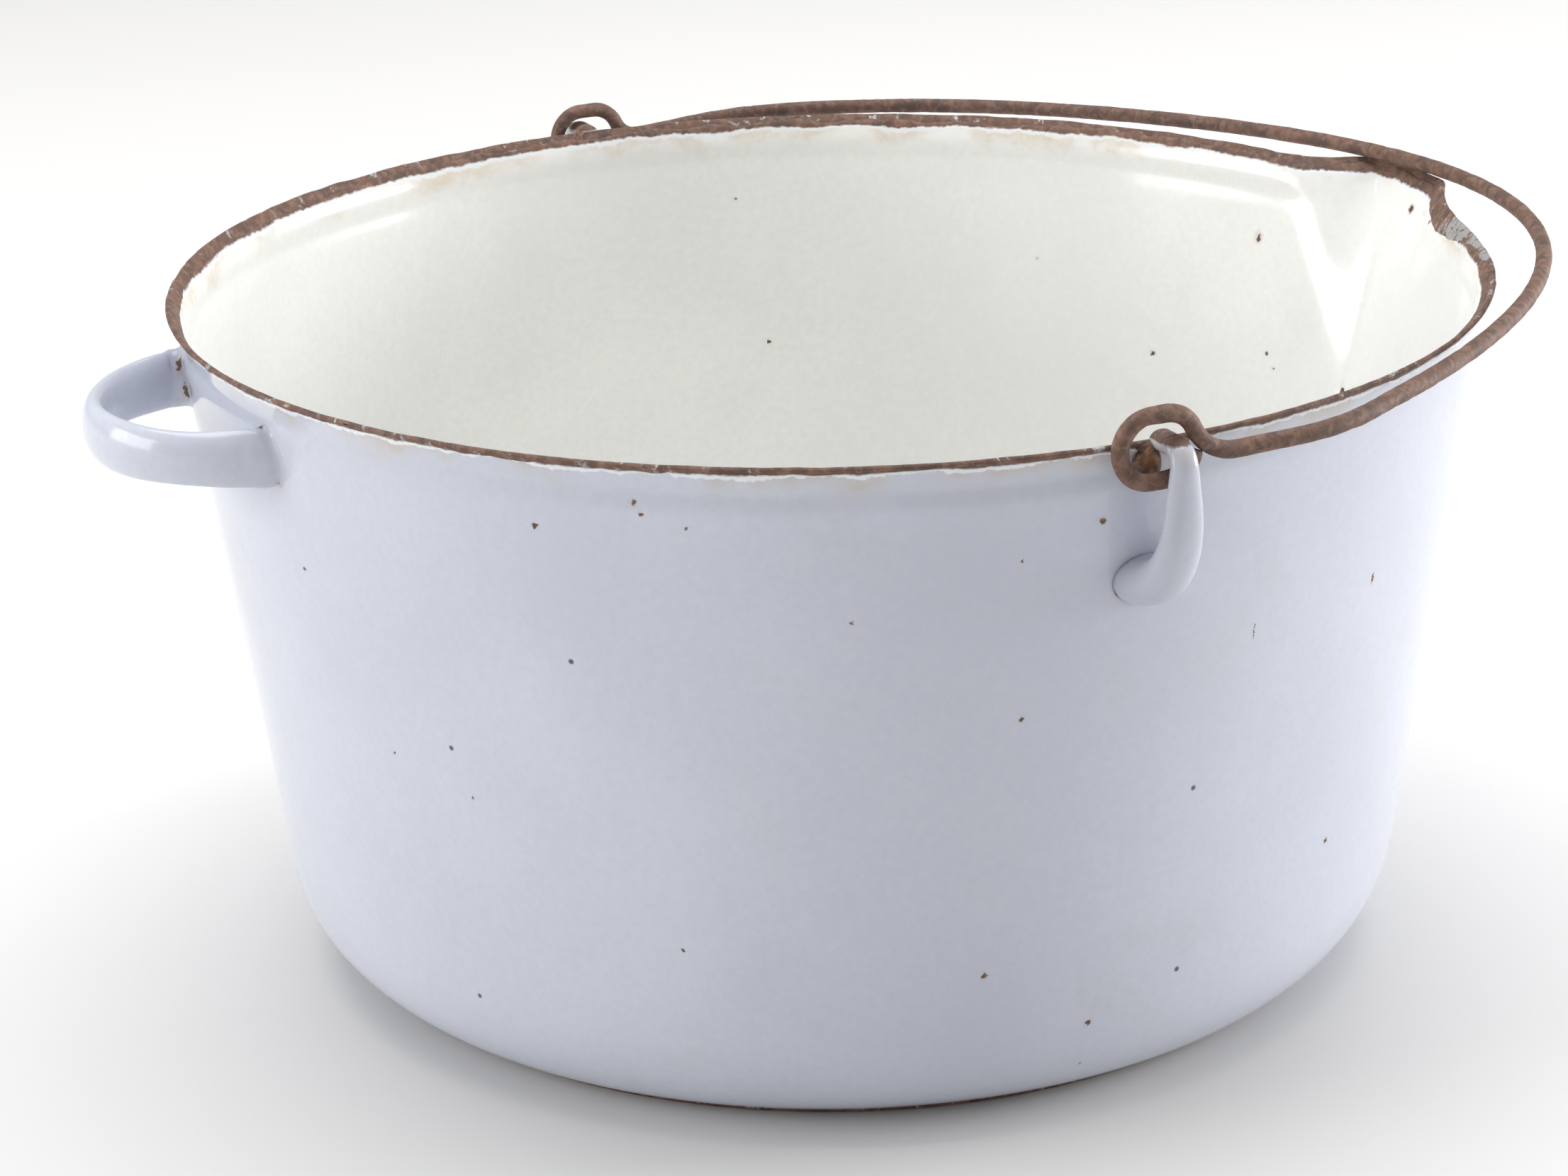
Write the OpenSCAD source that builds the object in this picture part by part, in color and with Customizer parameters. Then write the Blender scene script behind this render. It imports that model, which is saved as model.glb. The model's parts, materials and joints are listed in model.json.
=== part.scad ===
/* [Pot] */
// Outer radius of the flared rim
rim_r = 190; // [188:0.5:191]
// Height of the rim above the floor
pot_h = 201; // [190:1:215]
// Outer radius of the wall if it ran straight down to the floor
wall_base_r = 160; // [156:1:164]
// Outer radius of the flat foot
foot_r = 140; // [134:1:144]
// Outer radius of the rounded base corner
corner_r = 36; // [34:1:40]
// Thickness of the steel sheet
steel_t = 1.4; // [1.2:0.1:1.8]
// Thickness of one enamel coat
coat_t = 0.4; // [0.3:0.1:0.5]
// Height below the rim edge that neither coat covers
bare_h = 4; // [3:0.5:5]

/* [Spout] */
// Reach of the spout's lip from the pot's middle
spout_reach = 206; // [204:0.5:207]
// Half of the spout's width where it leaves the rim
spout_half_w = 46; // [42:1:50]
// Half of the width of the spout's blunt lip
spout_lip_half_w = 19; // [14:1:20]
// Depth of the spout's channel below the rim
spout_depth = 67; // [60:1:75]
// Height of the spout's lip above the rim
spout_rise = 1.2; // [0.5:0.1:1.2]

/* [Bail] */
// Diameter of the bail wire
wire_d = 4.8; // [4.4:0.1:4.8]
// Distance of each eye's middle plane from the pot's middle
eye_y = 194.2; // [194:0.1:194.4]
// Radius of an eye's round ends, to the wire's centre
eye_r = 8.6; // [8.6:0.1:9]
// Half of the straight length between an eye's round ends
eye_straight = 2.2; // [2.2:0.1:2.4]
// Tilt of the bail where it rests on the spout, in degrees
bail_tilt = 2.5; // [2.5:0.1:3]
// Mean radius of the bail's hoop
hoop_r = 201.2; // [200:0.1:202]
// Depth of the four soft corners that the hoop was bent to
hoop_lobe = 4.8; // [3:0.1:5]

/* [Ears and handle] */
// Width of an ear's strap where the bail's eye hangs on it
ear_w = 7.4; // [6.8:0.2:7.4]
// Width of an ear's foot
ear_foot_w = 19; // [15:1:20]
// Thickness of an ear's strap
ear_t = 5.4; // [4.6:0.2:5.4]
// Distance of an ear's standing part from the pot's middle
ear_y = 199.8; // [199.8:0.1:200.4]
// Shift of the rear ear towards the spout
rear_ear_x = 4; // [3.8:0.1:4.2]
// Height of the handle's grip
grip_h = 15.8; // [12:0.1:17]
// Thickness of the handle's grip
grip_t = 8; // [7:0.5:9]
// Inner radius of the handle's loop
grip_r = 37.5; // [35:0.5:40]
// Distance of the loop's centre from the pot's middle
handle_x = 174.3; // [172:0.1:178]
// Turn of the handle away from the spout's middle line, in degrees
handle_turn = 2; // [0:0.5:3]

/* [Hidden] */

STEEL = "#6b625c";
BLUE_ENAMEL = "#aab9d8";
CREAM_ENAMEL = "#e4e0d2";
RUST = "#4a3024";

// ---- the sheet's outline, as [radius, height] points from the middle of the base to the rim ----
floor_z = 0.6;                   // height of the sheet's underside above the pressed foot
foot_edge = 1;                   // worn edge of the foot
ridge_h = 13;                    // depth of the soft ridge below the rim
neck_h = 8;                      // depth of the shallow neck above the ridge
lip_h = 5;                       // depth of the lip's root
lip_root_r = 186.8;              // radius of the lip's root
wall_slope = (lip_root_r - wall_base_r) / (pot_h - lip_h);
wall_angle = atan(wall_slope);
corner_z = floor_z + corner_r;
corner_c = wall_base_r + wall_slope * corner_z - corner_r / cos(wall_angle);
foot_angle = asin((foot_r - corner_c) / corner_r);
CORNER_STEPS = 12;
RING_FN = 180;                   // facets of the pot's round surfaces

function wall_r(depth) = wall_base_r + wall_slope * (pot_h - depth);
function on_corner(a) = [corner_c + corner_r * sin(a), corner_z - corner_r * cos(a)];
corner_points = [for (i = [0:CORNER_STEPS]) on_corner((90 - wall_angle) * i / CORNER_STEPS)];
lip_points = [
    [wall_r(ridge_h), pot_h - ridge_h],
    [wall_r(neck_h) - 0.2, pot_h - neck_h],
    [wall_r(lip_h), pot_h - lip_h],
    [wall_r(3) + 0.7, pot_h - 3],
    [wall_r(1.6) + 1.6, pot_h - 1.6],
    [rim_r, pot_h - 0.6]
];
sheet = concat([[0, floor_z]], corner_points, lip_points);

// A line of points moved sideways by d, away from the pot's inside where d is positive
function unit(v) = v / norm(v);
function square_to(a, b) = let (u = unit(b - a)) [u[1], -u[0]];
function side_of(p, i) =
    let (before = square_to(p[max(i - 1, 0)], p[max(i, 1)]),
         after = square_to(p[min(i, len(p) - 2)], p[min(i + 1, len(p) - 1)]),
         middle = unit(before + after))
    middle / (middle * before);
function moved(p, d) = [for (i = [0:len(p) - 1]) p[i] + d * side_of(p, i)];

// Everything inside the sheet's outer face moved by d, closed off level at height top
module vessel(d, top) {
    edge = moved(sheet, d);
    last = edge[len(edge) - 1];
    rotate_extrude($fn = RING_FN)
        polygon(concat(edge, [[last[0], top], [0, top]]));
}

// ---- the spout's pressed form: a blunt V that runs out into the wall ----
spout_root_x = 186;              // where the spout leaves the rim
spout_back_x = 150;              // inside the pot, clear of the wall
spout_foot_x = 175.5;            // the channel's lower end, inside the wall
lip_round = 5;                   // how far the blunt lip curves back at its sides
flank = 1.2;                     // push along X that moves a flank sideways by one
LIP_STEPS = 8;

function lip_z(x) = pot_h + spout_rise * (x - spout_root_x) / (spout_reach - spout_root_x);
function lip_point(a) = [spout_reach - lip_round * (1 - cos(a)), spout_lip_half_w * sin(a)];
spout_plan = concat(
    [[spout_back_x, -spout_half_w], [spout_root_x, -spout_half_w]],
    [for (i = [0:LIP_STEPS]) lip_point(-90 + 180 * i / LIP_STEPS)],
    [[spout_root_x, spout_half_w], [spout_back_x, spout_half_w]]
);

// The form moved outwards by d, and carried on upwards by rise above its lip
module spout_form(d, rise) {
    n = len(spout_plan);
    foot = [spout_foot_x, 0, pot_h - spout_depth];
    foot_back = [spout_back_x, 0, pot_h - spout_depth];
    grow = 1 + rise / spout_depth;
    top = [for (p = spout_plan) foot + grow * ([p[0], p[1], lip_z(p[0])] - foot)];
    translate([d * flank, 0, 0])
        polyhedron(
            points = concat(top, [foot, foot_back]),
            faces = concat(
                [[for (i = [n - 1:-1:0]) i]],
                [for (i = [0:n - 2]) [i, i + 1, n]],
                [[n - 1, 0, n + 1], [0, n, n + 1], [n, n - 1, n + 1]]
            )
        );
}

// ---- pot body ----
module foot() {
    rotate_extrude($fn = RING_FN)
        polygon([[0, 0], [foot_r - foot_edge, 0], [foot_r, foot_edge], on_corner(foot_angle), [0, 3]]);
}

module pot_shell() {
    color(STEEL) difference() {
        union() {
            vessel(0, pot_h);
            spout_form(0, 0);
            foot();
        }
        vessel(-steel_t, pot_h + 20);
        spout_form(-steel_t, 20);
    }
}

coat_bottom = 4;                 // height where the outer coat is worn away above the foot
module between(low, high) {
    translate([0, 0, low]) cylinder(r = 260, h = high - low);
}

module outer_enamel() {
    color(BLUE_ENAMEL) difference() {
        intersection() {
            union() {
                vessel(coat_t, pot_h);
                spout_form(coat_t, 0);
            }
            between(coat_bottom, pot_h - bare_h);
        }
        vessel(0, pot_h + 1);
        spout_form(0, 1);
        handle_pad_blocks();
        for (side = [-1, 1]) ear_pad_block(side);
    }
}

module inner_enamel() {
    outside = moved(sheet, -steel_t);
    inside = moved(sheet, -steel_t - coat_t);
    last = len(inside) - 1;
    color(CREAM_ENAMEL) difference() {
        union() {
            difference() {
                rotate_extrude($fn = RING_FN)
                    polygon(concat(outside, [for (i = [last:-1:0]) inside[i]]));
                spout_form(-steel_t - coat_t, 20);
            }
            difference() {
                spout_form(-steel_t, 0);
                spout_form(-steel_t - coat_t, 20);
                vessel(-steel_t - coat_t, pot_h + 20);
            }
        }
        between(pot_h - bare_h, pot_h + 30);
    }
}

// ---- side handle ----
grip_top_h = 11.4;               // depth of the grip's top below the rim
grip_z = pot_h - grip_top_h - grip_h / 2;
weld_t = 1.6;                    // thickness of a weld pad
pad_w = 4;                       // how far a weld pad stands out past its leg
GRIP_STEPS = 12;

// Half-round section: flat at 0, round towards +X, and as high as the grip along Y
grip_section = [for (i = [0:GRIP_STEPS])
    let (a = -90 + 180 * i / GRIP_STEPS) [grip_t * cos(a), grip_h / 2 * sin(a)]];

// A straight run along +X of a section whose x lies to the left and whose y points up
module run(length, section) {
    rotate([90, 0, 90]) linear_extrude(length) polygon(section);
}

module bend(radius, angle, section) {
    rotate_extrude(angle = angle, $fn = 64) translate([radius, 0]) polygon(section);
}

// Half of a ring, whose ends lie inside the wall
module handle_form() {
    rotate(180 - handle_turn) translate([handle_x, 0, grip_z])
        rotate(-90) bend(grip_r, 180, grip_section);
}

module side_handle() {
    color(BLUE_ENAMEL) difference() {
        handle_form();
        vessel(0, pot_h);
    }
}

module handle_pad_blocks() {
    rotate(-handle_turn) for (side = [-1, 1])
        translate([-185, side * (grip_r + grip_t / 2), grip_z])
            cube([40, grip_t + 2 * pad_w, grip_h + pad_w], center = true);
}

module side_handle_welds() {
    color(BLUE_ENAMEL) difference() {
        intersection() {
            vessel(weld_t, pot_h);
            handle_pad_blocks();
        }
        vessel(0, pot_h + 1);
        handle_form();
    }
}

// ---- ears, one at each end of the bail's axis ----
axis_z = pot_h - 0.6;            // height of the bail's axis
ear_start = rim_r - 0.9;         // the upper leg lies on the rim's edge
ear_turn_r = 4.6;                // bend where the ear turns down, to the strap's middle
ear_stand = 17;                  // depth below the axis where the ear turns back to the wall
ear_back_r = 16;                 // bend where it turns back
ear_slope = 62;                  // slope of the lower leg, from straight down
ear_leg = 15;                    // length of the lower leg, cut to the wall's face
ear_pad_h = 38;                  // depth of the foot's middle below the rim
slice = 0.01;                    // thickness of the end slices that the lower leg is stretched between
STRAP_STEPS = 8;

function ear_x(side) = side > 0 ? rear_ear_x : 0;

// Flat strap with round edges: thickness along X and width along Y
function strap(w) = concat(
    [for (i = [0:STRAP_STEPS]) let (a = 180 * i / STRAP_STEPS)
        [ear_t / 2 * cos(a), (w - ear_t) / 2 + ear_t / 2 * sin(a)]],
    [for (i = [0:STRAP_STEPS]) let (a = 180 + 180 * i / STRAP_STEPS)
        [ear_t / 2 * cos(a), (ear_t - w) / 2 + ear_t / 2 * sin(a)]]
);

// Drawn flat, with X outwards from the pot and Y upwards from the bail's axis, then stood up
module ear_form(side) {
    translate([ear_x(side), 0, axis_z]) mirror([0, (1 - side) / 2, 0]) rotate(a = 120, v = [1, 1, 1]) {
        translate([ear_start, 0]) run(ear_y - ear_turn_r - ear_start, strap(ear_w));
        translate([ear_y - ear_turn_r, -ear_turn_r]) bend(ear_turn_r, 90, strap(ear_w));
        translate([ear_y, -ear_turn_r]) rotate(-90) run(ear_stand - ear_turn_r, strap(ear_w));
        translate([ear_y - ear_back_r, -ear_stand]) rotate(-ear_slope) {
            bend(ear_back_r, ear_slope, strap(ear_w));
            translate([ear_back_r, 0]) rotate(-90) hull() {
                run(slice, strap(ear_w));
                translate([ear_leg, 0, 0]) run(slice, strap(ear_foot_w));
            }
        }
    }
}

module ear(side) {
    color(BLUE_ENAMEL) difference() {
        ear_form(side);
        vessel(0, pot_h);
    }
}

module ear_pad_block(side) {
    translate([ear_x(side), side * 180, pot_h - ear_pad_h]) rotate([90, 0, 0])
        cylinder(r = ear_foot_w / 2 + 3, h = 30, center = true, $fn = 64);
}

module ear_weld(side) {
    color(BLUE_ENAMEL) difference() {
        intersection() {
            vessel(weld_t, pot_h);
            ear_pad_block(side);
        }
        vessel(0, pot_h + 1);
        ear_form(side);
    }
}

module front_ear() { ear(-1); }
module rear_ear() { ear(1); }
module front_ear_weld() { ear_weld(-1); }
module rear_ear_weld() { ear_weld(1); }

// ---- bail, modelled where it rests on the spout's lip ----
// Each eye is placed from its own ear, because the two ends were bent by hand
function eye_x(side) = side > 0 ? 2.1 : -4.5;
function eye_drop(side) = side > 0 ? 2.3 : 0;
function leave_r(side) = side > 0 ? 8 : 14;   // bend that turns the wire from the eye into the hoop
hoop_drop = 4.6;                 // depth of the hoop's plane below the axis, at the pot's middle
tail_angle = -14;                // where the wire's cut end lies on the eye
hoop_turn = 15;                  // how far the hoop's corners are turned from its axes
ease_arc = 16;                   // arc over which the hoop leaves the eye's plane
HOOP_STEPS = 80;
BEND_STEPS = 8;
WIRE_SIDES = 16;

// In an eye's upright plane, as [x, height above the axis]: its round ends, and the leaving bend
function near_c(side) = [ear_x(side) + eye_x(side) + eye_straight, -eye_drop(side)];
function far_c(side) = near_c(side) - [2 * eye_straight, 0];
function leave_angle(side) =
    let (rise = leave_r(side) / cos(bail_tilt) - hoop_drop + near_c(side)[0] * tan(bail_tilt) + eye_drop(side))
    bail_tilt + asin(rise * cos(bail_tilt) / (eye_r + leave_r(side)));
function leave_c(side) =
    near_c(side) + (eye_r + leave_r(side)) * [cos(leave_angle(side)), sin(leave_angle(side))];
function hoop_end(side) =
    atan2(eye_y, (leave_c(side)[0] + leave_r(side) * sin(bail_tilt)) / cos(bail_tilt));

// One bend of the wire in an upright plane, from angle a0 to a1, with its centre at c
module wire_bend(c, a0, a1) {
    translate([c[0], 0, c[1]]) rotate([90, -a0, 0])
        rotate_extrude(angle = a1 - a0, $fn = 96) translate([eye_r, 0]) circle(d = wire_d, $fn = 48);
}

module wire_straight(c, z) {
    translate([c[0], 0, c[1] + z]) rotate([0, 90, 0])
        cylinder(d = wire_d, h = 2 * eye_straight, $fn = 48);
}

module eye(side) {
    translate([0, side * eye_y, axis_z]) {
        wire_bend(near_c(side), -90, tail_angle);
        wire_straight(far_c(side), -eye_r);
        wire_bend(far_c(side), 90, 270);
        wire_straight(far_c(side), eye_r);
        wire_bend(near_c(side), 90, leave_angle(side));
    }
}

// The hoop's radius at angle a: it leaves the eyes' planes straight, and eases into four soft corners
function ease(t) = t * t * (3 - 2 * t);
function hoop_radius(a) =
    let (lead = eye_y / max(0.5, abs(sin(a))),
         bent = hoop_r + hoop_lobe * cos(4 * (a + hoop_turn)),
         t = ease(min(1, (hoop_end(sign(a)) - abs(a)) / ease_arc)))
    lead * (1 - t) + bent * t;
function hoop_point(a) = let (r = hoop_radius(a))
    [r * cos(a) * cos(bail_tilt), r * sin(a), axis_z - hoop_drop + r * cos(a) * sin(bail_tilt)];
function leave_point(i, side) =
    let (first = 180 + leave_angle(side), last = 270 + bail_tilt,
         a = first + (last - first) * i / BEND_STEPS,
         c = leave_c(side) + leave_r(side) * [cos(a), sin(a)])
    [c[0], side * eye_y, axis_z + c[1]];

// The hoop starts with a thinner ring sunk in the eye's wire, so that the two are one solid
root_turn = 10;
root_k = 0.85;
function root_point(side) =
    let (a = leave_angle(side) + root_turn, c = near_c(side) + eye_r * [cos(a), sin(a)])
    [c[0], side * eye_y, axis_z + c[1]];
function wire_ring(c, way, k) =
    let (out = unit(cross(way, [0, 0, 1])), up = cross(out, way))
    [for (j = [0:WIRE_SIDES - 1]) let (b = 360 * j / WIRE_SIDES)
        c + k * wire_d / 2 * (cos(b) * out + sin(b) * up)];

module hoop() {
    whole = hoop_end(-1) + hoop_end(1);
    route = concat(
        [root_point(-1)],
        [for (i = [0:BEND_STEPS]) leave_point(max(i, 0.3), -1)],
        [for (i = [1:HOOP_STEPS - 1]) hoop_point(whole * i / HOOP_STEPS - hoop_end(-1))],
        [for (i = [BEND_STEPS:-1:0]) leave_point(max(i, 0.3), 1)],
        [root_point(1)]);
    last = len(route) - 1;
    rings = [for (i = [0:last])
        let (way = unit(route[min(i + 1, last)] - route[max(i - 1, 0)]))
        each wire_ring(route[i], way, i == 0 || i == last ? root_k : 1)];
    sides = [for (i = [0:last - 1]) for (j = [0:WIRE_SIDES - 1])
        let (k = (j + 1) % WIRE_SIDES, m = i * WIRE_SIDES, n = m + WIRE_SIDES)
        [m + j, m + k, n + k, n + j]];
    ends = [[for (j = [WIRE_SIDES - 1:-1:0]) j],
            [for (j = [0:WIRE_SIDES - 1]) last * WIRE_SIDES + j]];
    polyhedron(points = rings, faces = concat(sides, ends));
}

module bail() {
    color(RUST) {
        hoop();
        eye(-1);
        eye(1);
    }
}

pot_shell();
outer_enamel();
inner_enamel();
side_handle();
side_handle_welds();
front_ear();
front_ear_weld();
rear_ear();
rear_ear_weld();
bail();
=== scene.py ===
import itertools
import json
import math

import bpy
import numpy as np
from mathutils import Matrix, Vector


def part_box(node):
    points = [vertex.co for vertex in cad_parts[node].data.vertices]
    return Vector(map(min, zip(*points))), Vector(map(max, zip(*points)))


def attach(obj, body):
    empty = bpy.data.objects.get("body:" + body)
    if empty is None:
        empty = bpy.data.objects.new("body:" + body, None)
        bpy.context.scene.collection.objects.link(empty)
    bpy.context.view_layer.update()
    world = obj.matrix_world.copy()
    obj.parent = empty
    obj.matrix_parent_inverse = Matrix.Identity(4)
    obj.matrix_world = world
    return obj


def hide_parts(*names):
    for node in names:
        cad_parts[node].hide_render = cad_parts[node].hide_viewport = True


bl_info = {
    "name": "Enamelled Stock Pot",
    "version": (1, 0, 0),
    "blender": (4, 5, 0),
    "location": "View3D > Sidebar > Stock Pot",
    "description": "Builds an enamelled steel stock pot with a spout, a side handle and a wire bail",
    "category": "Add Mesh",
}

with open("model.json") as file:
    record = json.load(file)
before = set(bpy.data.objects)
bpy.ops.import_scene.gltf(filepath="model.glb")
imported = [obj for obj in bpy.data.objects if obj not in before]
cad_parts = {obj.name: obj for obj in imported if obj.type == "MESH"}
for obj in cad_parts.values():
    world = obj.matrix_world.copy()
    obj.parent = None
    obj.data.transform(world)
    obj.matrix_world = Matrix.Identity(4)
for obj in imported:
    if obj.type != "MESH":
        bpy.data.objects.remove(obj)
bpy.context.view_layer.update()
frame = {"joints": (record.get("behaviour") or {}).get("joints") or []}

MM = 0.001
SHELL_LOW, SHELL_HIGH = (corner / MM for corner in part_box("pot_shell"))
COAT_LOW, COAT_HIGH = (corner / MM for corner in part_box("inner_enamel"))
GRIP_LOW, GRIP_HIGH = (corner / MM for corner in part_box("side_handle"))
# sides are -1 at the front ear and 1 at the rear ear
EAR_BOXES = {side: [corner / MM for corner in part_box(name)]
             for side, name in ((-1, "front_ear"), (1, "rear_ear"))}
BAIL_AXIS = Vector(frame["joints"][0]["pos_m"]) / MM


# ---- sizes and colours that a user would change ----

def length(name, text, default, low, high):
    return bpy.props.FloatProperty(
        name=name, description=text, default=default * MM, min=low * MM, max=high * MM,
        subtype="DISTANCE", unit="LENGTH", precision=4)


def colour(name, text, default):
    return bpy.props.FloatVectorProperty(
        name=name, description=text, default=default, size=3, min=0, max=1, subtype="COLOR")


class PotSizes(bpy.types.PropertyGroup):
    rim_radius: length("Rim radius", "Outer radius of the flared rim", -SHELL_LOW.x, 180, 200)
    rim_height: length("Rim height", "Height of the rim above the floor", COAT_HIGH.z + 4, 190, 215)
    wall_base: length("Wall base radius", "Radius of the wall if it ran on to the floor", 160, 150, 170)
    foot_radius: length("Foot radius", "Radius of the flat foot", 140, 130, 146)
    corner_radius: length("Corner radius", "Radius of the rounded base corner", 36, 30, 42)
    steel: length("Steel thickness", "Thickness of the steel sheet", 1.4, 1, 2)
    coat: length("Coat thickness", "Thickness of one enamel coat", 0.4, 0.2, 0.6)
    wire: length("Wire diameter", "Diameter of the bail's wire", 4.8, 4, 5.2)
    eye_radius: length("Eye radius", "Radius of an eye's round ends, to the wire's middle", 8.6, 8.4, 9)
    hoop_radius: length("Hoop radius", "Mean radius of the bail's hoop", 201.2, 200, 202)
    grip_radius: length("Handle radius", "Inner radius of the side handle's loop", 37.5, 35, 40)
    ear_width: length("Ear width", "Width of an ear where the bail hangs on it", 7.4, 6.8, 7.4)


class PotColours(bpy.types.PropertyGroup):
    blue: colour("Outer enamel", "Colour of the enamel on the outside", (0.585, 0.612, 0.695))
    cream: colour("Inner enamel", "Colour of the enamel on the inside", (0.895, 0.895, 0.862))
    rust: colour("Rust", "Colour of the settled rust", (0.155, 0.080, 0.053))
    orange: colour("Fresh rust", "Colour of the fresh rust at the edges", (0.33, 0.155, 0.065))
    steel: colour("Bare steel", "Colour of the rubbed steel", (0.42, 0.42, 0.42))


# ---- numbers and fields on points ----

def ease(t):
    t = np.clip(t, 0, 1)
    return t * t * (3 - 2 * t)


def soft_max(a, b, k):
    """The larger of two heights, with the crease between them rounded over about k."""
    near = np.maximum(k - np.abs(a - b), 0) / k
    return np.maximum(a, b) + near * near * k / 4


def soft_min(a, b, k):
    return -soft_max(-a, -b, k)


def grain(points, size, seed):
    """Smooth random heights from -1 to 1 at the points, with features of about that size."""
    place = np.asarray(points, float) / size + 13.7 * seed
    cell = np.floor(place).astype(np.int64)
    part = place - cell
    part = part * part * (3 - 2 * part)
    total = np.zeros(place.shape[:-1])
    for corner in itertools.product((0, 1), repeat=3):
        at = cell + np.array(corner)
        mix = at[..., 0] * 374761393 + at[..., 1] * 668265263 + at[..., 2] * 1274126177 + seed * 69069
        mix = (mix ^ (mix >> 13)) * 1103515245
        mix = mix ^ (mix >> 16)
        value = (mix & 0xFFFF) / 32767.5 - 1
        weight = np.prod(np.where(np.array(corner) == 1, part, 1 - part), axis=-1)
        total += value * weight
    return total


def grains(points, size, seed, octaves=3):
    return sum(grain(points, size / 2 ** i, seed + i) / 2 ** i for i in range(octaves))


def unit(v):
    return v / np.maximum(np.linalg.norm(v, axis=-1, keepdims=True), 1e-9)


# ---- the pressed sheet: every coat and face of the pot is a layer of this one surface ----

class Sheet:
    """The steel's outer face, in millimetres, as points at an angle and a distance along the profile."""

    FLOOR_Z = 0.6
    CORNER_STEPS = 60
    WALL_STEPS = 400
    # the wall is a straight line that passes this far inside the rim's edge, this far below it
    LINE_INSET = 3.2
    LINE_DEPTH = 5
    # how far the lip and the pressed ridge below it stand out of that line, at depths below the rim
    LIP_DEPTHS = (0.6, 1.6, 3, 5, 8, 13, 18)
    LIP_FLARE = (2.6, 1.5, 0.6, -0.1, -0.75, 0.35, 0)
    LIP_END = 20
    SPOUT_DEPTH = 68
    SPOUT_FOOT = (176.2, 1)
    SPOUT_HALF_ARC = 0.6
    SPOUT_RISE = 1.0
    # top edges of the spout's three pressed faces, as pairs of points at the rim's height
    SPOUT_EDGES = (((203.3, -12), (203.3, 18)),
                   ((199.3, 26.3), (190.3, 34.9)),
                   ((185, -36.6), (201.3, -13.3)))
    # a dent in the wall: its middle, its depth below the rim, its reach along x, y and z, and its push
    DENT_X, DENT_Y, DENT_BELOW = -74, -170, 17
    DENT_REACH = (13, 10, 8)
    DENT_PUSH = 0.8

    def __init__(self, sizes):
        self.rim_r = sizes.rim_radius / MM
        self.top = sizes.rim_height / MM
        self.base_r = sizes.wall_base / MM
        self.corner_r = sizes.corner_radius / MM
        self.foot_r = sizes.foot_radius / MM
        self.slope = (self.rim_r - self.LINE_INSET - self.base_r) / (self.top - self.LINE_DEPTH)
        lean = math.atan(self.slope)
        self.corner_z = self.FLOOR_Z + self.corner_r
        self.corner_c = self.base_r + self.slope * self.corner_z - self.corner_r / math.cos(lean)
        bend = np.linspace(0, math.pi / 2 - lean, self.CORNER_STEPS)
        corner = np.stack([self.corner_c + self.corner_r * np.sin(bend),
                           self.corner_z - self.corner_r * np.cos(bend)], 1)
        wall_z = np.linspace(corner[-1, 1], self.top - self.LIP_DEPTHS[0], self.WALL_STEPS)[1:]
        wall = np.stack([self.wall_radius(wall_z), wall_z], 1)
        line = np.vstack([[[0, self.FLOOR_Z]], corner, wall])
        steps = np.linalg.norm(np.diff(line, axis=0), axis=1)
        self.line = line
        self.along = np.concatenate([[0], np.cumsum(steps)])
        self.end = self.along[-1]

    def wall_radius(self, z):
        depth = self.top - z
        fine = np.linspace(0, self.LIP_END, 201)
        flare = np.interp(fine, self.LIP_DEPTHS, self.LIP_FLARE)
        flare = np.convolve(np.pad(flare, 8, mode="edge"), np.ones(17) / 17, mode="valid")
        return self.base_r + self.slope * z + np.interp(depth, fine, flare) * (depth < self.LIP_END)

    def at_height(self, z):
        """Distance along the profile at which the wall passes height z."""
        return np.interp(z, self.line[self.CORNER_STEPS:, 1], self.along[self.CORNER_STEPS:])

    def at_radius(self, r):
        """Distance along the profile at which the floor or corner passes radius r."""
        return np.interp(r, self.line[:self.CORNER_STEPS, 0], self.along[:self.CORNER_STEPS])

    def spout_radius(self, angle, z):
        """How far the pressed spout reaches at an angle and a height."""
        way = np.stack([np.cos(angle), np.sin(angle)], -1)
        rise = (z - self.top + self.SPOUT_DEPTH) / self.SPOUT_DEPTH
        foot = np.array(self.SPOUT_FOOT, float)
        faces = []
        for a, b in self.SPOUT_EDGES:
            run = np.array(b, float) - np.array(a, float)
            out = np.array([run[1], -run[0]]) / np.hypot(*run)
            out = out * np.sign(out[0])
            reach = out @ foot + (out @ (np.array(a) - foot)) * rise
            faces.append(reach / np.maximum(way @ out, 0.05))
        depth = self.top - z
        flare = 2.4 * ease(1 - depth / 5.5)
        # the folds between the faces are sharp at the lip and soften on the way down
        softer = ease(depth / 25)
        blunt = soft_min(soft_min(faces[0], faces[1], 3 + 6 * softer), faces[2], 2 + 8 * softer)
        return np.where((np.abs(angle) < self.SPOUT_HALF_ARC) & (rise > 0), blunt + flare, 0)

    def unevenness(self, angle, x, y, z):
        """How far the wall stands out of its true round: slow waves and one dent."""
        reach_x, reach_y, reach_z = self.DENT_REACH
        across, deep = (x - self.DENT_X) / reach_x, (y - self.DENT_Y) / reach_y
        below = (z - self.top + self.DENT_BELOW) / reach_z
        dent = np.exp(-(across ** 2 + deep ** 2 + below ** 2))
        wave = 0.22 * np.cos(3 * angle + 0.6) + 0.16 * np.cos(5 * angle + 2.1 + z / 60)
        wave = wave + 0.12 * np.cos(9 * angle - 1.2) * np.cos(z / 23)
        return wave * ease(z / 40) * ease((self.top - z) / 12) - self.DENT_PUSH * dent

    def face(self, angle, s):
        """Points of the outer face at an angle and a distance along the profile."""
        r = np.interp(s, self.along, self.line[:, 0])
        z = np.interp(s, self.along, self.line[:, 1])
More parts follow.
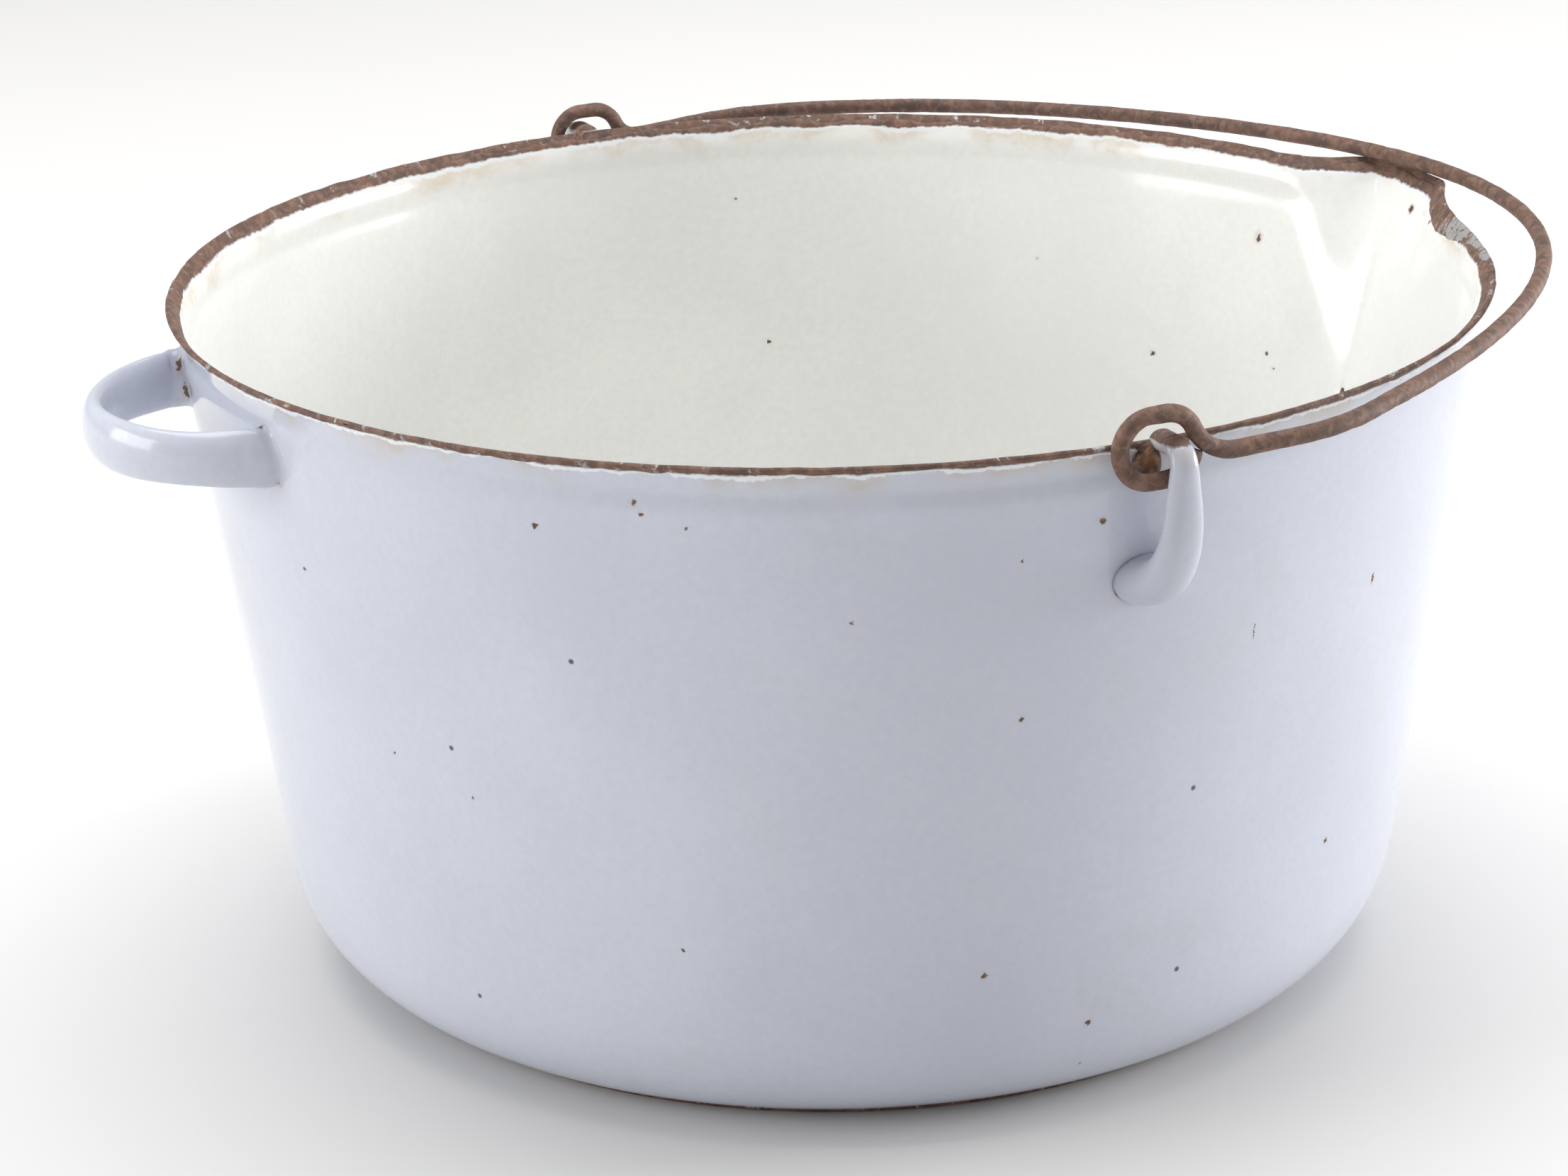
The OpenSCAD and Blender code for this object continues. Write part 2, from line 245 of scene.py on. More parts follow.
        # the fold round the spout is wider on its near side, and opens out below the rim
        blend = (7.5 - 2.5 * np.tanh(angle / 0.08)) * (1 + 0.9 * ease((self.top - z) / 30))
        pressed = soft_max(r, self.spout_radius(angle, z), blend)
        r = np.where(z > self.top - self.SPOUT_DEPTH, pressed, r)
        z = z + self.SPOUT_RISE * ease((r - self.rim_r - 2) / 12) * ease(1 - (self.top - z) / 12)
        r = r + self.unevenness(angle, r * np.cos(angle), r * np.sin(angle), z)
        # the floor isn't quite flat
        floor = 0.5 * np.cos(angle * 2 + 0.5) * ease((self.corner_c - r) / 60) * ease(r / 60)
        return np.stack([r * np.cos(angle), r * np.sin(angle), z + floor * (s < self.along[1])], -1)

    def layer(self, angle, s, out):
        """Points at a distance out of the steel's outer face."""
        angle, s, out = np.broadcast_arrays(angle, s, out)
        d_a, d_s = 0.002, 0.2
        low, high = np.maximum(s - d_s, 0.3), np.minimum(np.maximum(s, 0.3) + d_s, self.end)
        across = self.face(angle + d_a, np.maximum(s, 0.5)) - self.face(angle - d_a, np.maximum(s, 0.5))
        up = self.face(angle, high) - self.face(angle, low)
        normal = unit(np.cross(across, up))
        return self.face(angle, s) + out[..., None] * normal


# ---- meshes ----

def new_piece(name, points, faces, body, material, replaces=()):
    mesh = bpy.data.meshes.new(name)
    mesh.from_pydata((np.asarray(points) * MM).tolist(), [], faces)
    mesh.validate()
    mesh.polygons.foreach_set("use_smooth", [True] * len(mesh.polygons))
    piece = bpy.data.objects.new(name, mesh)
    bpy.context.scene.collection.objects.link(piece)
    piece.data.materials.append(material)
    if replaces:
        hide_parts(*replaces)
    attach(piece, body)
    return piece


def grid_faces(rows, columns, closed_rows=False):
    """Quads between rings of points, each ring closed on itself."""
    r = np.arange(rows if closed_rows else rows - 1)
    c = np.arange(columns)
    r0, c0 = np.meshgrid(r, c, indexing="ij")
    r1, c1 = (r0 + 1) % rows, (c0 + 1) % columns
    quads = np.stack([r0 * columns + c0, r0 * columns + c1, r1 * columns + c1, r1 * columns + c0], -1)
    return quads.reshape(-1, 4).tolist()


def capped(points):
    """Points and faces of a tube of rings, closed by a fan at each end."""
    rows, columns = points.shape[:2]
    faces = grid_faces(rows, columns)
    flat = points.reshape(-1, 3)
    ends = np.stack([points[0].mean(0), points[-1].mean(0)])
    first, last = len(flat), len(flat) + 1
    for c in range(columns):
        n = (c + 1) % columns
        faces.append([first, n, c])
        faces.append([last, (rows - 1) * columns + c, (rows - 1) * columns + n])
    return np.vstack([flat, ends]), faces


def side_vectors(route):
    """Two vectors across a route, which turn as little as they can along it."""
    along = unit(np.gradient(route, axis=0))
    side = np.zeros_like(route)
    start = np.array([0, -1.0, 0])
    side[0] = unit(start - along[0] * (start @ along[0]))
    for i in range(1, len(route)):
        side[i] = unit(side[i - 1] - along[i] * (side[i - 1] @ along[i]))
    return side, np.cross(along, side)


# ---- materials ----

class Nodes:
    """A node tree with short calls to add and link nodes."""

    def __init__(self, tree):
        self.tree = tree

    def add(self, kind, inputs=(), **settings):
        node = self.tree.nodes.new("ShaderNode" + kind)
        for key, value in settings.items():
            setattr(node, key, value)
        for key, value in dict(inputs).items():
            self.feed(value, node.inputs[key])
        return node

    def feed(self, value, socket):
        if isinstance(value, bpy.types.NodeSocket):
            self.tree.links.new(value, socket)
        elif value is not None:
            socket.default_value = value

    def math(self, operation, a, b=None, c=None):
        return self.add("Math", {0: a, 1: b, 2: c}, operation=operation).outputs[0]

    def ramp(self, value, low, high):
        """0 below low, 1 above high, and smooth between."""
        node = self.add("MapRange", {0: value, 1: low, 2: high}, interpolation_type="SMOOTHSTEP")
        return node.outputs[0]

    def mix(self, share, a, b, blend="MIX"):
        node = self.add("Mix", data_type="RGBA", blend_type=blend)
        for value, socket in zip((share, a, b), (node.inputs[0], node.inputs[6], node.inputs[7])):
            self.feed(value, socket)
        return node.outputs[2]

    def noise(self, where, scale, detail=4, rough=0.55, warp=0):
        node = self.add("TexNoise", {"Vector": where, "Scale": scale, "Detail": detail,
                                     "Roughness": rough, "Distortion": warp})
        return node.outputs[0]

    def group(self, tree, inputs=()):
        node = self.add("Group", node_tree=tree)
        for key, value in dict(inputs).items():
            self.feed(value, node.inputs[key])
        return node.outputs


def rgba(values):
    return (*values, 1.0)


def new_group(name, inputs, outputs):
    """An empty shader group with typed sockets, and its input and output nodes."""
    tree = bpy.data.node_groups.new(name, "ShaderNodeTree")
    for label, kind, default in inputs:
        socket = tree.interface.new_socket(label, in_out="INPUT", socket_type="NodeSocket" + kind)
        if default is not None:
            socket.default_value = default
    for label, kind in outputs:
        tree.interface.new_socket(label, in_out="OUTPUT", socket_type="NodeSocket" + kind)
    nodes = Nodes(tree)
    entry = tree.nodes.new("NodeGroupInput").outputs
    leave = tree.nodes.new("NodeGroupOutput").inputs
    return tree, nodes, entry, leave


def rust_group():
    """Settled brown rust with darker scale and fresh orange bloom."""
    tree, n, entry, leave = new_group(
        "Rust",
        [("Place", "Vector", None), ("Size", "Float", 1.0),
         ("Brown", "Color", rgba((0.1, 0.05, 0.03))),
         ("Orange", "Color", rgba((0.36, 0.13, 0.04))), ("Bloom", "Float", 0.5)],
        [("Color", "Color"), ("Roughness", "Float"), ("Height", "Float")])
    place = n.add("VectorMath", {0: entry["Place"], "Scale": entry["Size"]}, operation="SCALE").outputs[0]
    broad = n.noise(place, 90, 5, 0.6, 0.3)
    fine = n.noise(place, 520, 6, 0.65)
    spots = n.noise(place, 210, 5, 0.6, 0.6)
    level = n.math("SUBTRACT", 0.72, n.math("MULTIPLY", entry["Bloom"], 0.22))
    bloom = n.ramp(n.math("ADD", n.math("MULTIPLY", broad, 0.55), n.math("MULTIPLY", spots, 0.45)),
                   level, n.math("ADD", level, 0.13))
    dark = n.ramp(fine, 0.52, 0.68)
    base = n.mix(n.ramp(broad, 0.35, 0.62), rgba((0.090, 0.052, 0.040)), entry["Brown"])
    base = n.mix(n.math("MULTIPLY", dark, 0.5), base, rgba((0.060, 0.038, 0.030)))
    lit = n.mix(n.ramp(spots, 0.45, 0.62), base, rgba((0.265, 0.155, 0.115)))
    base = n.mix(0.55, base, lit)
    n.feed(n.mix(n.math("MULTIPLY", bloom, 0.85), base, entry["Orange"]), leave["Color"])
    n.feed(n.math("MULTIPLY_ADD", fine, 0.35, 0.5), leave["Roughness"])
    n.feed(n.math("ADD", n.math("MULTIPLY", fine, 0.6), n.math("MULTIPLY", spots, 0.5)), leave["Height"])
    return tree


def enamel_group():
    """Fired glass: a faint orange peel, a cloudy tone and fine specks."""
    tree, n, entry, leave = new_group(
        "Enamel",
        [("Place", "Vector", None), ("Color", "Color", rgba((0.6, 0.6, 0.6))), ("Specks", "Float", 0.5)],
        [("Color", "Color"), ("Roughness", "Float"), ("Height", "Float")])
    cloud = n.noise(entry["Place"], 14, 4, 0.5, 0.4)
    mottle = n.noise(entry["Place"], 420, 3, 0.6)
    peel = n.noise(entry["Place"], 150, 2, 0.5)
    shade = n.math("ADD", n.math("MULTIPLY", cloud, 0.10), n.math("MULTIPLY", mottle, 0.07))
    tone = n.mix(n.ramp(shade, 0.05, 0.13), rgba((0.9, 0.9, 0.92)), rgba((1, 1, 1)))
    colour = n.mix(1.0, entry["Color"], tone, "MULTIPLY")
    cells = n.add("TexVoronoi", {"Vector": entry["Place"], "Scale": 150}, feature="F1")
    chosen = n.add("SeparateColor", {0: cells.outputs["Color"]}).outputs[0]
    keep = n.ramp(chosen, n.math("SUBTRACT", 1.0, n.math("MULTIPLY", entry["Specks"], 0.05)), 1.0)
    spot = n.ramp(cells.outputs["Distance"], 0.16, 0.07)
    pits = n.math("MULTIPLY", spot, n.math("GREATER_THAN", keep, 0.02))
    n.feed(n.mix(n.math("MULTIPLY", pits, 0.9), colour, rgba((0.03, 0.025, 0.03))), leave["Color"])
    n.feed(n.math("MULTIPLY_ADD", cloud, 0.12, 0.10), leave["Roughness"])
    n.feed(n.math("SUBTRACT", peel, n.math("MULTIPLY", pits, 1.5)), leave["Height"])
    return tree


def chip_group():
    """Scattered chips with ragged edges, and the rusty halo round each."""
    tree, n, entry, leave = new_group(
        "Chips",
        [("Place", "Vector", None), ("Scale", "Float", 20.0), ("Share", "Float", 0.1),
         ("Reach", "Float", 0.12)],
        [("Chip", "Float"), ("Halo", "Float")])
    shake = n.add("TexNoise", {"Vector": entry["Place"], "Scale": 330, "Detail": 4.0}).outputs["Color"]
    moved = n.add("VectorMath", {0: shake, 1: (0.5, 0.5, 0.5)}, operation="SUBTRACT").outputs[0]
    moved = n.add("VectorMath", {0: moved, "Scale": 0.0045}, operation="SCALE").outputs[0]
    moved = n.add("VectorMath", {0: entry["Place"], 1: moved}, operation="ADD").outputs[0]
    cells = n.add("TexVoronoi", {"Vector": moved, "Scale": entry["Scale"]}, feature="F1")
    split = n.add("SeparateColor", {0: cells.outputs["Color"]}).outputs
    keep = n.math("LESS_THAN", split[0], entry["Share"])
    reach = n.math("MULTIPLY", entry["Reach"], n.math("MULTIPLY_ADD", split[1], 0.9, 0.35))
    gap = n.math("SUBTRACT", cells.outputs["Distance"], reach)
    chip = n.ramp(gap, 0.004, -0.006)
    halo = n.ramp(gap, n.math("MULTIPLY", reach, 1.2), 0.0)
    n.feed(n.math("MULTIPLY", chip, keep), leave["Chip"])
    n.feed(n.math("MULTIPLY", halo, keep), leave["Halo"])
    return tree


def mark_group():
    """One ragged mark at a place, and the stain round it. Stretch flattens space round the mark."""
    tree, n, entry, leave = new_group(
        "Mark",
        [("Place", "Vector", None), ("Centre", "Vector", None), ("Stretch", "Vector", (1.0, 1.0, 1.0)),
         ("Size", "Float", 0.001)],
        [("Chip", "Float"), ("Halo", "Float")])
    shake = n.add("TexNoise", {"Vector": entry["Place"], "Scale": 900, "Detail": 3.0}).outputs["Color"]
    shift = n.add("VectorMath", {0: shake, 1: (0.5, 0.5, 0.5)}, operation="SUBTRACT").outputs[0]
    shift = n.add("VectorMath", {0: shift, "Scale": 0.0022}, operation="SCALE").outputs[0]
    gap = n.add("VectorMath", {0: entry["Place"], 1: entry["Centre"]}, operation="SUBTRACT").outputs[0]
    gap = n.add("VectorMath", {0: gap, 1: entry["Stretch"]}, operation="MULTIPLY").outputs[0]
    gap = n.add("VectorMath", {0: gap, 1: shift}, operation="ADD").outputs[0]
    away = n.add("VectorMath", {0: gap}, operation="LENGTH").outputs["Value"]
    near = n.math("DIVIDE", away, entry["Size"])
    n.feed(n.ramp(near, 1.15, 0.8), leave["Chip"])
    n.feed(n.ramp(near, 2.2, 0.8), leave["Halo"])
    return tree


def bleed_group():
    """A ragged band that runs down from a height, fading over a reach."""
    tree, n, entry, leave = new_group(
        "Bleed",
        [("Place", "Vector", None), ("From", "Float", 0.2), ("Reach", "Float", 0.003),
         ("Rag", "Float", 0.003)],
        [("Mask", "Float")])
    height = n.add("SeparateXYZ", {0: entry["Place"]}).outputs[2]
    broad = n.noise(entry["Place"], 55, 5, 0.6)
    fine = n.noise(entry["Place"], 420, 4, 0.6)
    rag = n.math("ADD", n.math("MULTIPLY", broad, 0.7), n.math("MULTIPLY", fine, 0.3))
    rag = n.math("MULTIPLY", n.math("SUBTRACT", rag, 0.5), n.math("MULTIPLY", entry["Rag"], 4))
    gap = n.math("SUBTRACT", n.math("ADD", height, rag), entry["From"])
    low = n.math("MULTIPLY", entry["Reach"], -1)
    n.feed(n.ramp(gap, low, 0.0), leave["Mask"])
    return tree


def new_material(name):
    material = bpy.data.materials.new(name)
    material.use_nodes = True
    nodes = Nodes(material.node_tree)
    shader = material.node_tree.nodes["Principled BSDF"]
    place = nodes.add("TexCoord").outputs["Object"]
    return material, nodes, shader, place


def bumped(nodes, shader, height, distance):
    bump = nodes.add("Bump", {"Strength": 1.0, "Distance": distance, "Height": height})
    nodes.feed(bump.outputs[0], shader.inputs["Normal"])


# middle of the worn stretch on the near side of the spout, and its size
SPOUT_FLANK = ((0.180, -0.068, 0.198), 0.018)


def rust_material(name, tints, groups, size, bloom, polish, worn=None):
    """Rusted steel, rubbed grey in places where polish is above 0, and more round a worn place."""
    material, n, shader, place = new_material(name)
    rust = n.group(groups["rust"], {"Place": place, "Size": size, "Brown": rgba(tints.rust),
                                    "Orange": rgba(tints.orange), "Bloom": bloom})
    patches = n.noise(place, 190, 6, 0.66, 0.5)
    if worn:
        near = n.group(groups["mark"], {"Place": place, "Centre": worn[0], "Size": worn[1]})
        patches = n.math("ADD", patches, n.math("MULTIPLY", near["Halo"], 0.17))
    rubbed = n.ramp(patches, 0.64 - 0.06 * polish, 0.72 - 0.06 * polish)
    rubbed = n.math("MULTIPLY", rubbed, polish)
    n.feed(n.mix(rubbed, rust["Color"], rgba(tints.steel)), shader.inputs["Base Color"])
    n.feed(n.math("MULTIPLY", rubbed, 0.35), shader.inputs["Metallic"])
    n.feed(n.math("SUBTRACT", rust["Roughness"], n.math("MULTIPLY", rubbed, 0.32)),
           shader.inputs["Roughness"])
    bumped(n, shader, rust["Height"], 0.00035)
    return material


# wear on the pot: angle round the wall, height and half-size in mm, and how many times longer than wide
OUTER_MARKS = (
    (-139.5, 181, 0.9, 1), (-131, 190, 0.9, 1), (-130.5, 187, 0.7, 1), (-127, 184, 0.6, 1),
    (-114.5, 158, 0.6, 1), (-149.5, 97, 0.6, 1), (-158.5, 104, 0.5, 1), (-167, 151, 0.7, 1),
    (-130, 61, 0.6, 1), (-103, 52, 0.9, 1), (-101, 172, 0.35, 7), (-78.5, 139, 0.35, 8),
    (-94.5, 180, 1.1, 1), (-100.5, 127, 0.8, 1), (-62.5, 140, 0.8, 2), (-63.5, 62, 0.9, 1),
    (-92.5, 28, 1.0, 1), (155, 120, 1.0, 1), (40, 90, 1.2, 1), (95, 60, 0.8, 1), (120, 150, 0.9, 2),
    (12, 70, 0.7, 1))
INNER_MARKS = (
    (74, 175, 0.7, 1), (27.5, 130, 0.9, 1), (-1, 191, 1.5, 1), (11.5, 134, 0.6, 1), (71, 127, 0.7, 1),
    (-70, 110, 0.9, 1), (-140, 90, 0.7, 1), (175, 130, 0.8, 1))
# cracks and rust where the handle and the ears meet the wall
STRAP_MARKS = (
    (166.6, 187, 1.0, 3), (166.9, 179, 1.1, 3), (167.8, 183, 0.8, 1), (168.6, 178, 0.6, 1),
    (-169.2, 189.5, 1.1, 1), (-168.2, 176, 0.8, 2), (-93.1, 158.6, 1.5, 1), (-92.7, 156.6, 1.4, 1),
    (-92.0, 155.4, 1.2, 1), (-92.6, 168.8, 1.6, 1), (94.0, 157, 1.0, 1))
# part of a mark's half-size that is bare; the rest is its ragged edge
MARK_CORE = 0.8
GROUND_COAT = (0.80, 0.83, 0.86)
# a rim height above every point of the part, for a piece with no bare rim
NO_RIM = 10.0


def marks_at(nodes, group, place, marks, inset):
    """The chips and halos of a list of marks, joined. inset is their distance out of the steel."""
    sheet = Sheet(bpy.context.scene.pot_sizes)
    chip = halo = None
    for turned, height, size, longer in marks:
        angle = np.array([math.radians(turned)])
        along = sheet.at_height(np.array([float(height)]))
        centre = sheet.layer(angle, along, np.array([inset]))[0] * MM
        out = nodes.group(group, {"Place": place, "Centre": tuple(centre), "Size": MARK_CORE * size * MM,
                                  "Stretch": (1.0, 1.0, 1.0 / longer)})
        chip = out["Chip"] if chip is None else nodes.math("MAXIMUM", chip, out["Chip"])
        halo = out["Halo"] if halo is None else nodes.math("MAXIMUM", halo, out["Halo"])
    return chip, halo


def enamel_material(name, colour, tints, groups, top, specks, chips, stains, fringe, marks, inset):
    """Glossy enamel, rusty at its chips and above height top, over a fringe of its pale ground coat."""
    material, n, shader, place = new_material(name)
    enamel = n.group(groups["enamel"], {"Place": place, "Color": rgba(colour), "Specks": specks})
    rust = n.group(groups["rust"], {"Place": place, "Size": 1.6, "Brown": rgba(tints.rust),
                                    "Orange": rgba(tints.orange), "Bloom": 0.7})
    small = n.group(groups["chips"], {"Place": place, "Scale": 34.0, "Share": chips, "Reach": 0.05})
    bleed = n.group(groups["bleed"], {"Place": place, "From": top - 0.0014, "Reach": 0.0008, "Rag": 0.0012})
    halo = n.group(groups["bleed"], {"Place": place, "From": top - 0.001 - fringe, "Reach": 0.007,
                                     "Rag": 0.006})
    patch = n.ramp(n.noise(place, 22, 5, 0.6, 0.8), 0.56, 0.74)
    dirt = n.math("MULTIPLY", patch, stains)
    marked, ringed = marks_at(n, groups["mark"], place, marks, inset)
    chip = n.math("MAXIMUM", small["Chip"], marked)
    ring = n.math("MAXIMUM", small["Halo"], ringed)
    tone = n.mix(dirt, enamel["Color"], rgba((0.42, 0.34, 0.22)))
    stain = n.math("MULTIPLY", halo["Mask"], n.ramp(n.noise(place, 34, 4, 0.6), 0.42, 0.66))
    tone = n.mix(n.math("MULTIPLY", stain, 0.45), tone, rgba((0.50, 0.36, 0.17)))
    tone = n.mix(n.math("MULTIPLY", ring, 0.30), tone, rgba((0.42, 0.27, 0.15)))
    ground = n.group(groups["bleed"], {"Place": place, "From": top - 0.0014 - fringe, "Reach": 0.0006,
                                       "Rag": 0.0024})
    tone = n.mix(n.math("MULTIPLY", ground["Mask"], 0.8 if fringe else 0.0), tone, rgba(GROUND_COAT))
    bare = n.math("MAXIMUM", chip, bleed["Mask"])
    n.feed(n.mix(bare, tone, rust["Color"]), shader.inputs["Base Color"])
    rough = n.math("ADD", enamel["Roughness"], n.math("MULTIPLY", dirt, 0.25))
    rough = n.math("ADD", rough, n.math("MULTIPLY", bare, 0.5))
    n.feed(rough, shader.inputs["Roughness"])
    shader.inputs["IOR"].default_value = 1.52
    depth = n.math("SUBTRACT", n.math("MULTIPLY", enamel["Height"], 0.25), n.math("MULTIPLY", bare, 2.5))
    depth = n.math("ADD", depth, n.math("MULTIPLY", n.math("MULTIPLY", rust["Height"], bare), 1.2))
    bumped(n, shader, depth, 0.00012)
    return material


def make_materials(tints, top):
    """Every material, by a short key. top is the height of the rim."""
    groups = {"rust": rust_group(), "enamel": enamel_group(), "chips": chip_group(),
              "mark": mark_group(), "bleed": bleed_group()}
    # painted shade: the ears get the outer blue darkened to nine tenths, so the shade on their lower parts
    # is painted into their colour
    ear_shaded_blue = [0.9 * part for part in tints.blue]
    return {
        "steel": rust_material("rusted_rim_steel", tints, groups, size=1.5, bloom=0.55, polish=0.95,
                               worn=SPOUT_FLANK),
        "wire": rust_material("rusted_wire", tints, groups, size=1.5, bloom=0.25, polish=0.0),
        "crust": rust_material("rust_crust", tints, groups, size=1.8, bloom=1.1, polish=0.0),
        "blue": enamel_material("blue_enamel", tints.blue, tints, groups, top=top, specks=0.3, chips=0.008,
                                stains=0.08, fringe=0.0012, marks=OUTER_MARKS, inset=0.4),
        "cream": enamel_material("cream_enamel", tints.cream, tints, groups, top=top - 0.0015, specks=0.2,
                                 chips=0.003, stains=0.04, fringe=0.0012, marks=INNER_MARKS, inset=-1.8),
        "strap": enamel_material("strap_enamel", tints.blue, tints, groups, top=NO_RIM, specks=0.4,
                                 chips=0.05, stains=0.12, fringe=0.0, marks=STRAP_MARKS, inset=1.2),
        "ear": enamel_material("ear_shaded_enamel", ear_shaded_blue, tints, groups, top=top + 0.0022, specks=0.4,
                               chips=0.05, stains=0.12, fringe=0.0, marks=STRAP_MARKS, inset=0.7),
    }


MATERIALS = {}


def material(key):
    if not MATERIALS:
        scene = bpy.context.scene
        MATERIALS.update(make_materials(scene.pot_colours, scene.pot_sizes.rim_height))
    return MATERIALS[key]


# ---- pot body ----

COLUMNS = 1080


def turn():
    return np.linspace(-math.pi, math.pi, COLUMNS, endpoint=False)[None, :]


def on_circle(angle, radius):
    return np.stack([radius * np.cos(angle), radius * np.sin(angle), 0 * angle], -1)


def spaced(low, high, step):
    return np.linspace(low, high, max(2, int(round((high - low) / step)) + 1))


def build_steel(sizes):
    """The drawn sheet: bare at the rim and the foot, and covered by the coats between."""
    sheet = Sheet(sizes)
    angle = turn()
    steel = sizes.steel / MM
    foot_s = sheet.at_radius(sheet.foot_r)
    outside = np.concatenate([spaced(foot_s, sheet.end - 12, 6), spaced(sheet.end - 11, sheet.end, 0.6)])
    inside = np.concatenate([spaced(sheet.end, sheet.end - 11, -0.6), spaced(sheet.end - 12, 4, -6)])
    foot = [(r, z) for r, z in ((20, 0.25), (70, 0.1), (110, 0), (sheet.foot_r - 4, 0),
                                (sheet.foot_r - 1.2, 0.05), (sheet.foot_r - 0.3, 0.5),
                                (sheet.foot_r + 0.05, 1.2), (sheet.foot_r + 0.1, 2.4))]
    rows = []
    for r, z in foot:
        ring = on_circle(angle[0], r + 0.12 * np.cos(7 * angle[0]))
        ring[:, 2] = z
        rows.append(ring)
    around = on_circle(angle[0], sheet.rim_r)
    ragged = grains(around, 7, 3)
    wear = grains(around, 22, 8)
    for s in outside[1:-1]:
        near = ease((s - sheet.end + 9) / 9)
        face = sheet.layer(angle, s, 0)[0]
        out = near * 0.10 * grains(face, 4, 5)
        rows.append(sheet.layer(angle, s, out[None])[0])
    for share in (0.06, 0.22, 0.5, 0.78, 0.94):
        round_off = 0.5 * (1 - (2 * share - 1) ** 2)
        s = sheet.end - 0.35 + round_off * 0.7 + 0.22 * ragged - 0.25 * np.maximum(wear, 0)
        rows.append(sheet.layer(angle, s[None], np.full_like(angle, -steel * share))[0])
    for s in inside[1:-1]:
        near = ease((s - sheet.end + 9) / 9)
        face = sheet.layer(angle, s, -steel)[0]
        out = -steel - near * 0.10 * grains(face, 4, 6)
        rows.append(sheet.layer(angle, s, out[None])[0])
    points, faces = capped(np.stack(rows))
    new_piece("sheet_steel", points, faces, "pot", material("steel"), ("pot_shell",))


def edge_line(angle, mean, rag, seed):
    """Ragged distance from the rim's edge at which a coat ends, one for each column."""
    around = on_circle(angle, 190)
    line = mean + rag * (0.6 * grains(around, 26, seed) + 0.5 * grains(around, 7, seed + 5, 4))
    return line


def build_outer_coat(sizes):
    sheet = Sheet(sizes)
    angle = turn()
    coat = sizes.coat / MM
    low = sheet.at_radius(sheet.foot_r) + 0.6
    high = sheet.end - np.maximum(edge_line(angle[0], 1.5, 1.3, 21), 0.4)
    share = np.concatenate([[0, 0.0012, 0.003, 0.006], spaced(0.012, 0.93, 0.012),
                            spaced(0.94, 0.985, 0.005), [0.989, 0.9925, 0.9955, 0.998, 1]])
    s = low + (high - low)[None, :] * share[:, None]
    from_edge = np.minimum(s - low, high[None, :] - s)
    thick = coat * np.sqrt(np.clip(from_edge / 1.1, 0, 1))
    face = sheet.layer(angle, s, 0)
    ripple = 0.05 * grain(face, 34, 31) + 0.02 * grain(face, 11, 32)
    outer = sheet.layer(angle, s, thick + ripple * np.clip(from_edge / 6, 0, 1))
    hidden = s[::-5]
    inner = sheet.layer(angle, hidden, -0.25)
    rows = np.concatenate([outer, inner])
    new_piece("outer_coat", rows.reshape(-1, 3), grid_faces(len(rows), COLUMNS, True),
              "pot", material("blue"), ("outer_enamel",))


def build_inner_coat(sizes):
    sheet = Sheet(sizes)
    angle = turn()
    steel, coat = sizes.steel / MM, sizes.coat / MM
    line = edge_line(angle[0], 2.5, 1.5, 41)
    by_handle = np.exp(-((np.abs(angle[0]) - math.pi) / 0.9) ** 2)
    by_spout = np.exp(-((angle[0] + 0.2) / 0.13) ** 2)
    line = line + 2.2 * by_handle + 5.0 * by_spout
    high = sheet.end - np.maximum(line, 1.2)
    bend = sheet.along[1]
    first = np.concatenate([spaced(3, bend, 9), spaced(bend + 3, bend + 52, 2.5)])
    share = np.concatenate([spaced(0.03, 0.90, 0.0155), spaced(0.91, 0.975, 0.006),
                            [0.98, 0.984, 0.988, 0.992, 0.995, 0.9975, 1]])
    start = first[-1]
    s = np.concatenate([np.repeat(first[:, None], COLUMNS, 1),
                        start + (high - start)[None, :] * share[:, None]])
    thick = coat * np.sqrt(np.clip((high[None, :] - s) / 1.1, 0, 1))
    face = sheet.layer(angle, s, -steel)
    ripple = 0.05 * grain(face, 34, 61) + 0.02 * grain(face, 11, 62)
    inner = sheet.layer(angle, s, -steel - thick - ripple)
    hidden = sheet.layer(angle, s[::-5], -steel + 0.25)
    points, faces = capped(np.concatenate([hidden[::-1], inner[::-1]])[::-1])
    new_piece("inner_coat", points, faces, "pot", material("cream"), ("inner_enamel",))


# ---- straps: the side handle and the two ears ----

def swept(route, side, up, half_side, half_up, flat, count):
    """Rings of a rounded section along a route. flat pulls the section's inner half in."""
    t = np.linspace(0, 2 * math.pi, count, endpoint=False)
    a, b = np.cos(t), np.sin(t)
    a = np.sign(a) * np.abs(a) ** 0.9
    b = np.where(b < 0, b * flat, b)
    return (route[:, None] + side[:, None] * (a * half_side[:, None])[..., None]
            + up[:, None] * (b * half_up[:, None])[..., None])


# how far a foot's rings stand off the coat, and how far they have spread by then
FOOT_STEPS = ((3.4, 1.02), (2.2, 1.05), (1.3, 1.10), (0.7, 1.17), (0.3, 1.26), (0.08, 1.36), (-0.35, 1.46))
# radius of the wall at the handle's height, which turns offsets along the wall into angles
HANDLE_WALL_R = 184


def wall_rings(sheet, coat, middle, height, wide, high, spread_wide, spread_high):
    """Rings that spread from a strap's end on to the wall. wide and high are offsets round the ring."""
    rings = []
    for lift, spread in FOOT_STEPS:
        angle = middle + wide * (1 + (spread - 1) * spread_wide) / HANDLE_WALL_R
        s = sheet.at_height(height + high * (1 + (spread - 1) * spread_high))
        rings.append(sheet.layer(angle, s, np.full_like(angle, coat + lift)))
    return np.stack(rings)


HANDLE_THICK = 8.0
HANDLE_TURN = math.radians(2)
# the loop's half-arc in degrees, and where it begins to widen into its feet
HANDLE_ARC, HANDLE_WIDEN = 73, 52


